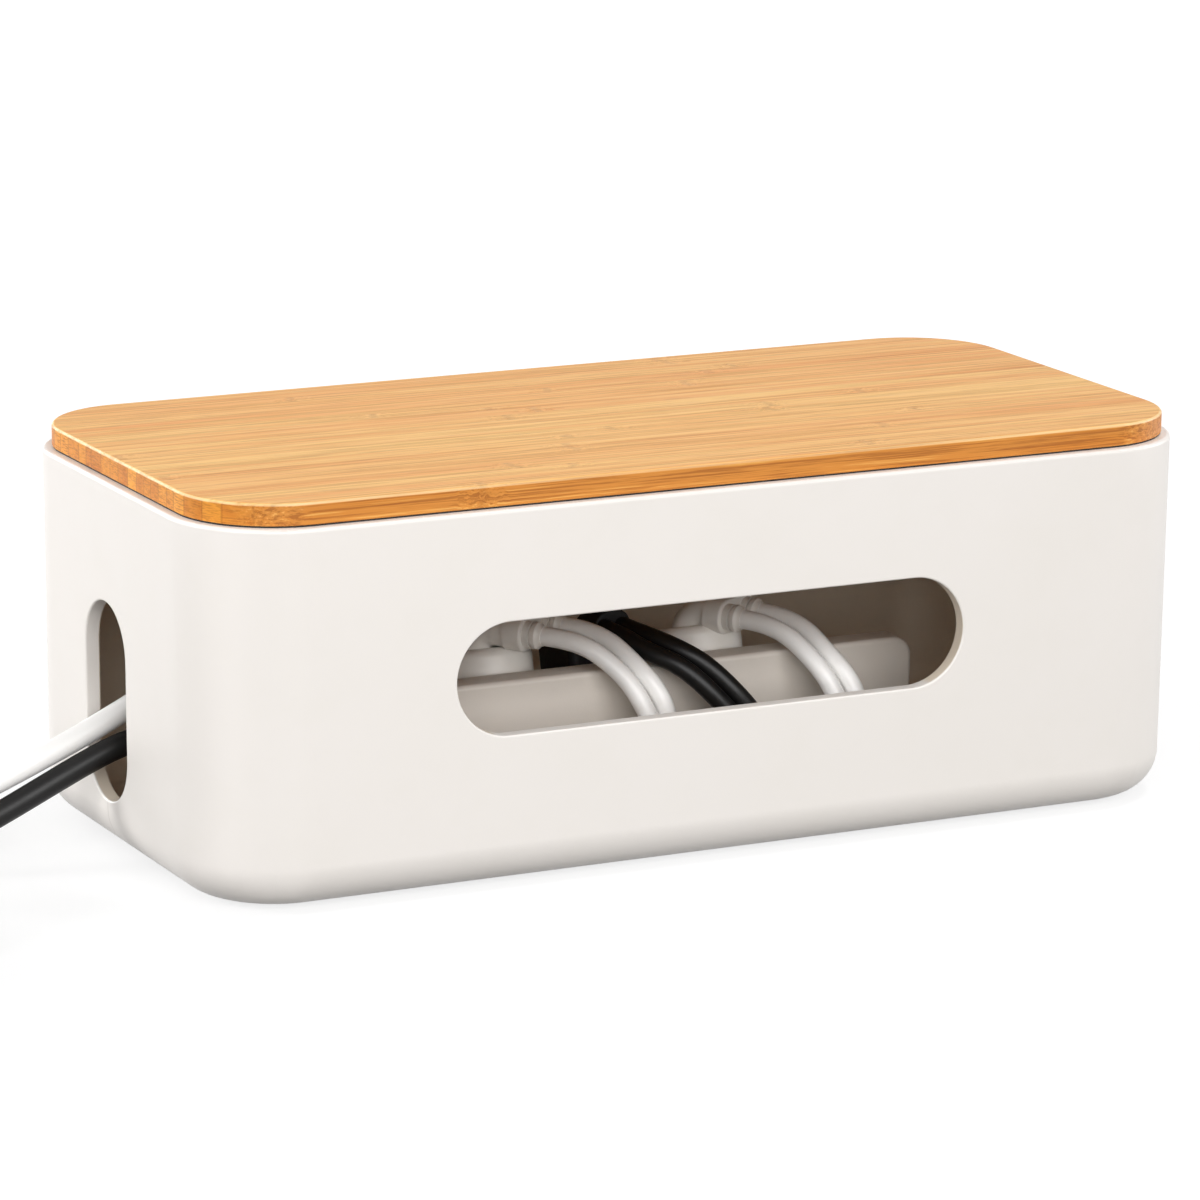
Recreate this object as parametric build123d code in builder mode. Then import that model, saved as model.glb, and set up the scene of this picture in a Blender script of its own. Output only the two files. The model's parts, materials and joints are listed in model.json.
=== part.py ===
from build123d import *
import os
from math import cos, degrees, pi, radians, sin, tan

os.makedirs("parts", exist_ok=True)

# Cable management box with a bamboo lid, holding a five-way power strip.
# Millimetres. Origin at the centre of the footprint on the table, +X along the
# box, the long window faces -Y, the cable slot that is in use faces -X, +Z up.

# ---------------------------------------------------------------- driving sizes
# Moulded tub
length = 320.0
depth = 154.0
body_height = 110.0
corner_radius = 31.5
draft = 0.45
wall = 4.6
floor_thickness = 3.0
base_radius = 13.0
rim_round = 1.2
rim_inner_round = 0.5
edge_round = 0.6

window_length = 163.0
window_height = 33.0
window_x = -4.5
window_rise = 61.1

slot_width = 30.6
slot_height = 59.0
slot_y = 4.7
slot_rise = 45.2

# Rubber feet, let into the underside
foot_diameter = 14.0
foot_proud = 0.8
foot_recess = 0.9
foot_inset_x = 38.0
foot_inset_y = 34.0
foot_clearance = 0.2
foot_chamfer = 0.3

# Bamboo lid
lid_inset = 2.65
lid_thickness = 6.4
lid_edge_round = 1.0
lid_lower_round = 0.3
seal_thickness = 0.5
seal_setback = 0.4
seal_width = 2.1
batten_width = 12.0
batten_thickness = 8.0
batten_gap = 0.9
long_batten = 210.0
short_batten = 66.0
batten_round = 1.5
batten_chamfer = 0.8
long_screw_pitch = 80.0
short_screw_pitch = 44.0

# Wood screws through the battens
wood_screw = 3.0
wood_screw_head = 6.0
wood_screw_bite = 3.6
wood_screw_clearance = 0.15
wood_screw_sink = 0.2
wood_screw_point = 1.2

# Power strip
strip_length = 187.0
strip_depth = 50.0
strip_height = 42.3
strip_x = -4.0
strip_band = 9.0
strip_slope = 15.6
strip_wall = 2.4
strip_end_round = 6.0
strip_edge_round = 1.5
strip_parting = 14.0
strip_chamfer = 0.8
pad_diameter = 10.0
pad_proud = 0.6
pad_recess = 0.6
pad_inset = 14.0
boss_diameter = 6.0
boss_inset_x = 5.6
boss_inset_y = 6.0
post_diameter = 8.4
strip_screw = 3.0
strip_screw_head = 5.6
strip_screw_length = 16.0
strip_screw_head_height = 1.8
strip_screw_round = 0.8
strip_screw_spare = 2.0
screw_clearance = 0.2

# Sockets
socket_count = 5
socket_pitch = 35.0
socket_size = 27.0
socket_corner = 6.0
socket_depth = 13.0
socket_sink = 0.4
socket_gap = 0.2
socket_chamfer = 0.5
flange_width = 1.2
flange_thickness = 1.4
blade_spacing = 12.7
blade_width = 6.3
blade_thickness = 1.5
blade_length = 17.0
blade_gap = 0.3
earth_pin = 4.8
earth_offset = 8.6
earth_pin_length = 12.0

# Contact rails
rail_sheet = 0.6
rail_height = 7.0
rail_margin = 22.0

# Plugs
plug_diameter = 29.0
plug_height = 8.0
plug_shoulder = 3.0
block_size = 24.0
block_corner = 2.5
block_edge = 0.8
elbow_radius = 7.0
neck_height = 10.5
neck_step = 0.7
sleeve_length = 6.0
sleeve_edge = 0.8
collar_diameter = 8.2
collar_length = 5.6
collar_ring = 2.0
collar_groove = 0.7
collar_step = 0.8
collar_lip = 0.15
lead_diameter = 5.8

# Small connectors on the stowed leads
barrel_diameter = 8.2
barrel_length = 22.0
barrel_round = 1.2
tip_diameter = 5.5
tip_length = 9.5
tip_wall = 1.5
tip_web = 1.0

# Mains flex of the strip, and the flex of the device plugged in beside it
mains_diameter = 7.3
device_diameter = 7.0
relief_length = 20.0
relief_diameter = 11.0
relief_lip = 0.7
mains_exit_y = 8.0
mains_exit_rise = 28.1
device_relief_length = 24.0
device_relief_step = 0.4

# Coils of the spare flex
coil_turn = 10.2
coil_gap = 0.2
coil_layers = 3
coil_lanes = 2
tie_width = 14.0
tie_thickness = 0.5
tie_gap = 0.1
end_turn = 4.0
end_start_x = 15.0
end_start_y = 28.0
end_relief_length = 26.0

# Mains plug and device connector on the far ends of the flexes
mains_plug_width = 28.0
mains_plug_height = 22.0
mains_plug_length = 34.0
mains_plug_round = 6.0
mains_plug_axis = 8.0
mains_plug_edge = 1.5
mains_earth_offset = 6.6
mains_earth_length = 19.0
connector_width = 20.0
connector_height = 12.6
connector_length = 22.0
connector_nose = 13.0
connector_step = 2.0
connector_root = 5.5
connector_pins = 8.6
connector_pin = 2.8

# ---------------------------------------------------------------- derived places
underside = foot_proud
rim = underside + body_height
floor_top = underside + floor_thickness
lid_bottom = rim + seal_thickness
inner_length = length - 2 * wall
inner_depth = depth - 2 * wall
foot_places = [
    (sx * (length / 2 - foot_inset_x), sy * (depth / 2 - foot_inset_y))
    for sx in (-1, 1)
    for sy in (-1, 1)
]

strip_bottom = floor_top + pad_proud
strip_top = strip_bottom + strip_height
strip_left = strip_x - strip_length / 2
strip_right = strip_x + strip_length / 2
strip_front = -strip_depth / 2
strip_back = strip_depth / 2
parting = strip_bottom + strip_parting
slope_run = strip_depth - strip_band
slope_drop = slope_run * tan(radians(strip_slope))
boss_places = [
    (strip_x + sx * (strip_length / 2 - boss_inset_x), sy * (strip_depth / 2 - boss_inset_y))
    for sx in (-1, 1)
    for sy in (-1, 1)
]
socket_places = {
    f"socket_{i + 1}": strip_x + (i - (socket_count - 1) / 2) * socket_pitch
    for i in range(socket_count)
}
coil_lift = tie_gap + tie_thickness
slope_y = strip_front + strip_band + slope_run / 2
slope_z = strip_top - slope_drop / 2


def slope_plane(x, lift=0.0):
    """Plane on the sloping socket face at one socket, its normal out of the face."""
    tilt = radians(strip_slope)
    face = Plane(
        origin=(x, slope_y, slope_z),
        x_dir=(1, 0, 0),
        z_dir=(0, sin(tilt), cos(tilt)),
    )
    return face.offset(lift)


# ------------------------------------------------------------------ moulded tub
with BuildPart() as cavity:
    with BuildSketch(Plane.XY.offset(rim)):
        RectangleRounded(inner_length, inner_depth, corner_radius - wall)
    extrude(amount=-(body_height - floor_thickness), taper=draft)
    fillet(cavity.faces().sort_by(Axis.Z)[0].edges(), base_radius - wall)

with BuildPart() as tub:
    with BuildSketch(Plane.XY.offset(rim)):
        RectangleRounded(length, depth, corner_radius)
    extrude(amount=-body_height, taper=draft)
    fillet(tub.faces().sort_by(Axis.Z)[0].edges(), base_radius)
    add(cavity.part, mode=Mode.SUBTRACT)
    # The long window in the front wall
    with BuildSketch(Plane.XZ.offset(depth / 2 - 3 * wall)):
        with Locations((window_x, underside + window_rise)):
            SlotOverall(window_length, window_height)
    extrude(amount=4 * wall, mode=Mode.SUBTRACT)
    fillet(tub.edges(Select.LAST).filter_by(Axis.Y, reverse=True), edge_round)
    # The upright cable slots in both end walls
    with BuildSketch(Plane.YZ):
        with Locations((slot_y, underside + slot_rise)):
            SlotOverall(slot_height, slot_width, rotation=90)
    extrude(amount=length / 2 + wall, both=True, mode=Mode.SUBTRACT)
    fillet(tub.edges(Select.LAST).filter_by(Axis.X, reverse=True), edge_round)
    # The rim, rounded outside and just broken inside
    rim_face = tub.faces().filter_by(Plane.XY).sort_by(Axis.Z)[-1]
    fillet(rim_face.outer_wire().edges(), rim_round)
    rim_face = tub.faces().filter_by(Plane.XY).sort_by(Axis.Z)[-1]
    fillet(rim_face.inner_wires()[0].edges(), rim_inner_round)
    # Pockets for the feet
    with BuildSketch(Plane.XY.offset(underside)):
        with Locations(*foot_places):
            Circle(foot_diameter / 2 + foot_clearance)
    extrude(amount=foot_recess, mode=Mode.SUBTRACT)
tub.part.label = "tub"
export_step(tub.part, "parts/tub.step")

with BuildPart() as rubber_feet:
    with BuildSketch(Plane.XY):
        with Locations(*foot_places):
            Circle(foot_diameter / 2)
    extrude(amount=foot_proud + foot_recess)
    chamfer(rubber_feet.edges().filter_by(GeomType.CIRCLE).group_by(Axis.Z)[0], foot_chamfer)
rubber_feet.part.label = "rubber_feet"
export_step(rubber_feet.part, "parts/rubber_feet.step")

# ------------------------------------------------------------------- bamboo lid
batten_y = inner_depth / 2 - batten_gap - batten_width / 2
batten_x = inner_length / 2 - batten_gap - batten_width / 2
long_screws = [(sx * long_screw_pitch, 0) for sx in (-1, 0, 1)]
short_screws = [(0, sy * short_screw_pitch / 2) for sy in (-1, 1)]
battens = {
    "lid_batten_front": (0, -batten_y, long_batten, batten_width, long_screws),
    "lid_batten_rear": (0, batten_y, long_batten, batten_width, long_screws),
    "lid_batten_left": (-batten_x, 0, batten_width, short_batten, short_screws),
    "lid_batten_right": (batten_x, 0, batten_width, short_batten, short_screws),
}
screw_places = [
    (bx + sx, by + sy) for bx, by, _, _, screws in battens.values() for sx, sy in screws
]
screw_hole = wood_screw / 2 + wood_screw_clearance

with BuildPart() as lid_panel:
    with BuildSketch(Plane.XY.offset(lid_bottom)):
        RectangleRounded(
            length - 2 * lid_inset, depth - 2 * lid_inset, corner_radius - lid_inset
        )
    extrude(amount=lid_thickness)
    fillet(lid_panel.faces().sort_by(Axis.Z)[-1].edges(), lid_edge_round)
    fillet(lid_panel.faces().sort_by(Axis.Z)[0].edges(), lid_lower_round)
    with BuildSketch(Plane.XY.offset(lid_bottom)):
        with Locations(*screw_places):
            Circle(screw_hole)
    extrude(amount=wood_screw_bite + wood_screw_clearance, mode=Mode.SUBTRACT)
lid_panel.part.label = "lid_panel"
export_step(lid_panel.part, "parts/lid_panel.step")

with BuildPart() as lid_seal:
    seal_inset = lid_inset + seal_setback
    with BuildSketch(Plane.XY.offset(rim)):
        RectangleRounded(
            length - 2 * seal_inset, depth - 2 * seal_inset, corner_radius - seal_inset
        )
        offset(amount=-seal_width, mode=Mode.SUBTRACT)
    extrude(amount=seal_thickness)
lid_seal.part.label = "lid_seal"
export_step(lid_seal.part, "parts/lid_seal.step")

for name, (bx, by, size_x, size_y, screws) in battens.items():
    with BuildPart() as batten:
        with BuildSketch(Plane.XY.offset(lid_bottom)):
            with Locations((bx, by)):
                RectangleRounded(size_x, size_y, batten_round)
        extrude(amount=-batten_thickness)
        chamfer(batten.faces().sort_by(Axis.Z)[0].edges(), batten_chamfer)
        with Locations(batten.faces().sort_by(Axis.Z)[0]):
            with Locations(*[(sx, -sy) for sx, sy in screws]):
                CounterSinkHole(screw_hole, wood_screw_head / 2 + wood_screw_clearance)
    batten.part.label = name
    export_step(batten.part, f"parts/{name}.step")

with BuildPart() as lid_screws:
    screw_face = lid_bottom - batten_thickness
    head_drop = (wood_screw_head - wood_screw) / 2
    with BuildSketch(Plane.XZ) as screw_profile:
        with BuildLine():
            Polyline(
                (0, wood_screw_sink),
                (wood_screw_head / 2 - wood_screw_sink, wood_screw_sink),
                (wood_screw / 2, head_drop),
                (wood_screw / 2, batten_thickness + wood_screw_bite - wood_screw_point),
                (0, batten_thickness + wood_screw_bite),
                close=True,
            )
        make_face()
    screw_one = revolve(screw_profile.sketch, Axis.Z, mode=Mode.PRIVATE)
    for x, y in screw_places:
        add(Location((x, y, screw_face)) * screw_one)
lid_screws.part.label = "lid_screws"
export_step(lid_screws.part, "parts/lid_screws.step")


# ------------------------------------------------------------------ power strip
def strip_envelope(inset):
    """The strip's outer form, or its hollow when drawn in by the wall."""
    with BuildPart() as envelope:
        with BuildSketch(Plane.YZ.offset(strip_left + inset)):
            with BuildLine():
                Polyline(
                    (strip_front, strip_bottom),
                    (strip_back, strip_bottom),
                    (strip_back, strip_top - slope_drop),
                    (strip_front + strip_band, strip_top),
                    (strip_front, strip_top),
                    close=True,
                )
            make_face()
            if inset:
                offset(amount=-inset, kind=Kind.INTERSECTION, mode=Mode.REPLACE)
        extrude(amount=strip_length - 2 * inset)
        with BuildSketch(Plane.XZ.offset(strip_back)):
            with Locations((strip_x, strip_bottom + inset)):
                with BuildLine(mode=Mode.PRIVATE) as outline:
                    half = strip_length / 2 - inset
                    high = strip_height - 2 * inset
                    arc = strip_end_round - inset
                    Line((-half, 0), (-half, high - arc))
                    RadiusArc((-half, high - arc), (-half + arc, high), arc)
                    Line((-half + arc, high), (half - arc, high))
                    RadiusArc((half - arc, high), (half, high - arc), arc)
                    Line((half, high - arc), (half, 0))
                    Line((half, 0), (-half, 0))
                add(make_face(outline.edges(), mode=Mode.PRIVATE))
        extrude(amount=strip_depth * 2, both=True, mode=Mode.INTERSECT)
    return envelope.part


strip_outer = strip_envelope(0)
strip_hollow = strip_envelope(strip_wall)

with BuildPart() as strip_cover:
    add(strip_outer)
    front_face = strip_cover.faces().sort_by(Axis.Y)[0]
    fillet(front_face.edges().filter_by(Axis.Y, reverse=True), strip_edge_round)
    add(strip_hollow, mode=Mode.SUBTRACT)
    # Screw bosses that hang from the cover
    with BuildSketch(Plane.XY.offset(parting)):
        with Locations(*boss_places):
            Circle(boss_diameter / 2)
    extrude(until=Until.NEXT)
    split(bisect_by=Plane.XY.offset(parting), keep=Keep.TOP)
    with BuildSketch(Plane.XY.offset(parting)):
        with Locations(*boss_places):
            Circle(strip_screw / 2 + screw_clearance / 2)
    extrude(amount=strip_screw_length, mode=Mode.SUBTRACT)
    for x in socket_places.values():
        with BuildSketch(slope_plane(x, -strip_wall)):
            RectangleRounded(socket_size, socket_size, socket_corner)
        extrude(amount=2 * strip_wall, mode=Mode.SUBTRACT)
strip_cover.part.label = "strip_cover"
export_step(strip_cover.part, "parts/strip_cover.step")

with BuildPart() as strip_base:
    add(strip_outer)
    bottom_edges = strip_base.faces().sort_by(Axis.Z)[0].edges()
    chamfer(bottom_edges, strip_chamfer)
    add(strip_hollow, mode=Mode.SUBTRACT)
    split(bisect_by=Plane.XY.offset(parting), keep=Keep.BOTTOM)
    # Posts that meet the cover's bosses, counterbored from below for the screws
    with BuildSketch(Plane.XY.offset(strip_bottom)):
        with Locations(*boss_places):
            Circle(post_diameter / 2)
    extrude(amount=strip_parting)
    with BuildSketch(Plane.XY.offset(strip_bottom)):
        with Locations(*boss_places):
            Circle(strip_screw / 2 + screw_clearance)
    extrude(amount=strip_parting, mode=Mode.SUBTRACT)
    with BuildSketch(Plane.XY.offset(strip_bottom)):
        with Locations(*boss_places):
            Circle(strip_screw_head / 2 + screw_clearance)
    extrude(amount=strip_parting / 2, mode=Mode.SUBTRACT)
    pad_places = [(x + (pad_inset if x < strip_x else -pad_inset), y) for x, y in boss_places]
    with BuildSketch(Plane.XY.offset(strip_bottom)):
        with Locations(*pad_places):
            Circle(pad_diameter / 2 + foot_clearance)
    extrude(amount=pad_recess, mode=Mode.SUBTRACT)
strip_base.part.label = "strip_base"
export_step(strip_base.part, "parts/strip_base.step")

with BuildPart() as strip_pads:
    with BuildSketch(Plane.XY.offset(floor_top)):
        with Locations(*pad_places):
            Circle(pad_diameter / 2)
    extrude(amount=pad_proud + pad_recess)
strip_pads.part.label = "strip_pads"
export_step(strip_pads.part, "parts/strip_pads.step")

with BuildPart() as strip_screws:
    seat = strip_bottom + strip_parting / 2
    with BuildSketch(Plane.XY.offset(seat)):
        with Locations(*boss_places):
            Circle(strip_screw_head / 2)
    extrude(amount=-strip_screw_head_height)
    heads = strip_screws.edges().filter_by(GeomType.CIRCLE).group_by(Axis.Z)[0]
    fillet(heads, strip_screw_round)
    with BuildSketch(Plane.XY.offset(seat)):
        with Locations(*boss_places):
            Circle(strip_screw / 2)
    extrude(amount=strip_screw_length + strip_parting / 2 - strip_screw_spare)
strip_screws.part.label = "strip_screws"
export_step(strip_screws.part, "parts/strip_screws.step")

# Socket inserts, each held in the cover by a flange behind its opening
rail_rows = {
    "live_rail": (blade_spacing / 2, blade_thickness),
    "neutral_rail": (-blade_spacing / 2, blade_thickness),
    "earth_rail": (0, earth_pin),
}
for name, x in socket_places.items():
    with BuildPart() as insert:
        with BuildSketch(slope_plane(x, -socket_depth)):
            RectangleRounded(
                socket_size - 2 * socket_gap, socket_size - 2 * socket_gap, socket_corner
            )
        extrude(amount=socket_depth - socket_sink)
        chamfer(insert.faces().sort_by(Axis.Z)[-1].edges(), socket_chamfer)
        with BuildSketch(slope_plane(x, -strip_wall)):
            RectangleRounded(
                socket_size + 2 * flange_width, socket_size + 2 * flange_width, socket_corner
            )
        extrude(amount=-flange_thickness)
        with BuildSketch(slope_plane(x, -socket_depth)):
            with Locations((0, blade_spacing / 2), (0, -blade_spacing / 2)):
                Rectangle(blade_width + 2 * blade_gap, blade_thickness + 2 * blade_gap)
            with Locations((earth_offset, 0)):
                Circle(earth_pin / 2 + blade_gap)
        extrude(amount=socket_depth, mode=Mode.SUBTRACT)
    insert.part.label = name
    export_step(insert.part, f"parts/{name}.step")

# Sprung contact rails under the sockets, folded to a channel that grips the blades
rail_length = strip_length - 2 * rail_margin
for name, (row, gap) in rail_rows.items():
    with BuildPart() as rail:
        with BuildSketch(slope_plane(strip_x, -socket_depth)):
            with Locations((0, row)):
                Rectangle(rail_length, gap + 2 * blade_gap + 2 * rail_sheet)
        extrude(amount=-rail_height)
        with BuildSketch(slope_plane(strip_x, -socket_depth)):
            with Locations((0, row)):
                Rectangle(rail_length, gap + 2 * blade_gap)
        extrude(amount=-(rail_height - rail_sheet), mode=Mode.SUBTRACT)
    rail.part.label = name
    export_step(rail.part, f"parts/{name}.step")


# ------------------------------------------------------------------------ plugs
# Each angle plug: its socket, how far its outlet is turned from -Y towards +X,
# the height and reach of the outlet from the plug's axis, its width, how far
# apart the two leads leave it, and the straight first run of each lead
angle_plugs = {
    "plug_left": dict(
        socket="socket_2", turn=38.0, height=56.3, reach=19.0, width=23.9, spread=13.4, run=11.5
    ),
    "plug_middle": dict(
        socket="socket_3", turn=5.0, height=54.7, reach=15.6, width=12.6, spread=6.3, run=9.5
    ),
    "plug_right": dict(
        socket="socket_4", turn=32.0, height=54.3, reach=16.4, width=21.3, spread=10.8, run=11.5
    ),
}
block_plug = "plug_middle"
device_plug = dict(socket="socket_1", turn=-90.0, height=51.5, reach=16.4, width=neck_height)


def plug_axis(socket, outlet_height):
    """Point of the leaning plug body at the height of its outlets."""
    x = socket_places[socket]
    lean = (outlet_height - slope_z) * tan(radians(strip_slope))
    return Vector(x, slope_y + lean, outlet_height)


def outlet_frame(socket, turn, height, reach, side=0.0):
    """Plane across an outlet, its normal the way the lead leaves."""
    heading = Vector(sin(radians(turn)), -cos(radians(turn)), 0)
    across = Vector(cos(radians(turn)), sin(radians(turn)), 0)
    origin = plug_axis(socket, height) + heading * reach + across * side
    return Plane(origin=origin, x_dir=across, z_dir=heading)


def neck_outline(width, height):
    """Section of a plug's neck: a slot, or a circle where it is as high as wide."""
    return SlotOverall(width, height) if width > height else Circle(height / 2)


def plug_body(socket, turn, height, reach, width, block=False):
    """Low base on the socket face with an elbow that ends in a thicker sleeve."""
    face = slope_plane(socket_places[socket])
    sleeve = outlet_frame(socket, turn, height, reach - sleeve_length)
    with BuildPart() as body:
        with BuildSketch(face):
            if block:
                RectangleRounded(block_size, block_size, block_corner)
            else:
                Circle(plug_diameter / 2)
        extrude(amount=plug_height)
        top = body.faces().sort_by(Axis.Z)[-1]
        fillet(top.edges(), block_edge if block else plug_shoulder)
        with BuildLine():
            FilletPolyline(
                sleeve.origin, plug_axis(socket, height), face.origin, radius=elbow_radius
            )
        with BuildSketch(Plane(sleeve.origin, x_dir=sleeve.x_dir, z_dir=-sleeve.z_dir)):
            neck_outline(width - 2 * neck_step, neck_height - 2 * neck_step)
        sweep()
        with BuildSketch(sleeve):
            neck_outline(width, neck_height)
        extrude(amount=sleeve_length)
        outlet = body.faces().sort_by(Axis(sleeve.origin, sleeve.z_dir))[-1]
        fillet(outlet.edges(), sleeve_edge)
    return body.part


def blade_pair(socket):
    """Two flat blades and the earth pin of one plug."""
    x = socket_places[socket]
    with BuildPart() as blades:
        with BuildSketch(slope_plane(x)):
            with Locations((0, blade_spacing / 2), (0, -blade_spacing / 2)):
                Rectangle(blade_width, blade_thickness)
        extrude(amount=-blade_length)
        with BuildSketch(slope_plane(x)):
            with Locations((earth_offset, 0)):
                Circle(earth_pin / 2)
        extrude(amount=-earth_pin_length)
    return blades.part


def collar_profile():
    """Half outline of a collar: a wide ring, a groove, a second ring and a nose."""
    ring = collar_diameter / 2
    second = collar_ring + collar_step
    with BuildSketch(Plane.XY) as profile:
        with BuildLine():
            Polyline(
                (0, 0), (ring, 0), (ring, collar_ring),
                (ring - collar_groove, collar_ring), (ring - collar_groove, second),
                (ring, second), (ring, second + collar_ring - collar_step),
                (ring - collar_step, second + collar_ring),
                (lead_diameter / 2 + collar_lip, collar_length), (0, collar_length),
                close=True,
            )
        make_face()
    return profile.sketch


lead_starts = {}
for name, plug in angle_plugs.items():
    place = {key: plug[key] for key in ("socket", "turn", "height", "reach")}
    body = plug_body(**place, width=plug["width"], block=name == block_plug)
    body.label = f"{name}_body"
    export_step(body, f"parts/{name}_body.step")
    blades = blade_pair(plug["socket"])
    blades.label = f"{name}_blades"
    export_step(blades, f"parts/{name}_blades.step")
    frames = {
        name.replace("plug_", "") + end: outlet_frame(**place, side=side * plug["spread"] / 2)
        for end, side in (("_front", -1), ("_rear", 1))
    }
    if name == block_plug:
        lead_starts.update(frames)
        continue
    with BuildPart() as collars:
        for key, frame in frames.items():
            turned = Plane(origin=frame.origin, x_dir=frame.x_dir, z_dir=-frame.y_dir)
            add(turned.location * revolve(collar_profile(), Axis.Y, mode=Mode.PRIVATE))
            lead_starts[key] = frame.offset(collar_length)
    collars.part.label = f"{name}_collars"
    export_step(collars.part, f"parts/{name}_collars.step")


# ------------------------------------------------------------------------ cords
def bend_radii(points, diameter, name):
    """Largest tangent arc at each corner: 0.45 of the shorter run over tan(turn/2)."""
    spots = [Vector(*p) for p in points]
    radii = []
    for before, here, after in zip(spots, spots[1:], spots[2:]):
        run = min((here - before).length, (after - here).length)
        turn = radians((here - before).get_angle(after - here))
        radii.append(0.45 * run / tan(turn / 2))
    print(name, "tightest", round(min(radii), 1), "=", round(min(radii) / diameter, 2), "diameters")
    return radii


def cord_tube(name, points, diameter):
    """A round flex on straight runs joined by tangent arcs."""
    radii = bend_radii(points, diameter, name)
    with BuildPart() as flex:
        with BuildLine() as path:
            FilletPolyline(*points, radius=radii)
        with BuildSketch(Plane(origin=path.line @ 0, z_dir=path.line % 0)):
            Circle(diameter / 2)
        sweep()
    run_length = path.wires()[0].length
    expected = pi * diameter**2 / 4 * run_length
    print(name, "length", round(run_length, 1), "volume ratio",
          round(flex.part.volume / expected, 4))
    return flex.part


flex_run = 14.0
# Stowed leads: from each outlet over the strip's front edge into the front channel
stowed_routes = {
    "left_front": [
        (-13.8, -32.1, 49.1), (-9.0, -37.4, 41.3), (-5.4, -41.7, 30.3), (-9.0, -45.0, 18.8),
        (-18.8, -45.6, 10.0), (-32.0, -45.4, 7.4), (-50.0, -44.6, 7.2), (-72.0, -45.6, 7.3),
        (-94.0, -44.8, 7.4), (-110.0, -45.2, 8.2),
    ],
    "left_rear": [
        (-6.7, -32.2, 48.5), (-1.8, -37.7, 40.7), (0.1, -39.7, 31.3), (-2.4, -39.2, 19.6),
        (-11.8, -38.2, 10.2), (-25.0, -37.2, 7.4), (-43.0, -36.2, 7.2), (-65.0, -37.0, 7.3),
        (-86.0, -36.0, 7.4), (-101.0, -36.4, 8.2),
    ],
    "middle_front": [
        (-1.0, -25.9, 51.3), (7.7, -34.8, 47.7), (21.8, -42.3, 31.5), (28.5, -45.4, 20.5),
        (38.0, -45.4, 12.4), (49.5, -43.2, 8.4), (64.0, -42.4, 7.2), (82.0, -43.4, 7.3),
        (101.0, -43.0, 7.4), (119.0, -43.4, 8.2),
    ],
    "middle_rear": [
        (7.7, -27.7, 52.3), (16.3, -33.5, 46.8), (26.7, -40.2, 34.5), (34.4, -40.8, 22.4),
        (43.4, -37.6, 13.4), (54.8, -34.8, 8.7), (70.0, -33.8, 7.2), (88.0, -34.2, 7.3),
        (104.0, -33.6, 7.4), (120.0, -33.8, 8.2),
    ],
    "right_front": [
        (50.6, -37.4, 44.5), (54.8, -41.3, 35.7), (55.7, -47.6, 25.5), (50.6, -55.6, 18.2),
        (41.0, -59.8, 10.2), (28.4, -61.6, 7.5), (12.0, -62.2, 7.4), (-8.0, -61.6, 7.4),
        (-30.0, -62.4, 7.6), (-47.0, -62.2, 8.6),
    ],
    "right_rear": [
        (56.2, -35.2, 45.8), (61.0, -41.3, 37.7), (62.0, -45.6, 24.6), (57.0, -48.6, 14.2),
        (48.0, -51.2, 8.2), (36.0, -52.6, 7.3), (20.0, -54.0, 7.2), (2.0, -53.6, 7.3),
        (-16.0, -54.2, 7.4), (-31.0, -54.0, 8.2),
    ],
}
connector_ends = {}
for key, tail in stowed_routes.items():
    nose = lead_starts[key]
    run = angle_plugs["plug_" + key.split("_")[0]]["run"]
    points = [tuple(nose.origin), tuple(nose.origin + nose.z_dir * run), *tail]
    lead = cord_tube(f"lead_{key}", points, lead_diameter)
    lead.label = f"lead_{key}"
    export_step(lead, f"parts/lead_{key}.step")
    heading = (Vector(*tail[-1]) - Vector(*tail[-2])).normalized()
    connector_ends[key] = Plane(origin=tail[-1], z_dir=heading)

for key, end in connector_ends.items():
    with BuildPart() as connector:
        with BuildSketch(end):
            Circle(barrel_diameter / 2)
        extrude(amount=barrel_length)
        fillet(connector.edges().filter_by(GeomType.CIRCLE), barrel_round)
    connector.part.label = f"connector_{key}"
    export_step(connector.part, f"parts/connector_{key}.step")

for side in ("left", "middle", "right"):
    with BuildPart() as tips:
        for key in (f"{side}_front", f"{side}_rear"):
            with BuildSketch(connector_ends[key].offset(barrel_length)):
                Circle(tip_diameter / 2)
            extrude(amount=tip_length)
            with BuildSketch(connector_ends[key].offset(barrel_length + tip_web)):
                Circle(tip_diameter / 2 - tip_wall)
            extrude(amount=tip_length, mode=Mode.SUBTRACT)
    tips.part.label = f"connector_tips_{side}"
    export_step(tips.part, f"parts/connector_tips_{side}.step")

# The device plug in the first socket, its tapered relief and its flex
device_neck = outlet_frame(
    **{key: value for key, value in device_plug.items() if key != "width"}
)
with BuildPart() as device_plug_body:
    add(plug_body(**device_plug))
    with BuildSketch(device_neck.offset(-sleeve_edge)):
        Circle(neck_height / 2 - device_relief_step)
    with BuildSketch(device_neck.offset(device_relief_length)):
        Circle(device_diameter / 2 + relief_lip)
    loft()
device_plug_body.part.label = "device_plug_body"
export_step(device_plug_body.part, "parts/device_plug_body.step")
device_plug_blades = blade_pair(device_plug["socket"])
device_plug_blades.label = "device_plug_blades"
export_step(device_plug_blades, "parts/device_plug_blades.step")

# The strip's own relief on its left end face
mains_exit = Plane(origin=(strip_left, mains_exit_y, strip_bottom + mains_exit_rise),
                   x_dir=(0, 1, 0), z_dir=(-1, 0, 0))
with BuildPart() as strip_relief:
    with BuildSketch(mains_exit):
        Circle(relief_diameter / 2)
    with BuildSketch(mains_exit.offset(relief_length)):
        Circle(mains_diameter / 2 + relief_lip)
    loft()
strip_relief.part.label = "strip_relief"
export_step(strip_relief.part, "parts/strip_relief.step")

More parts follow.
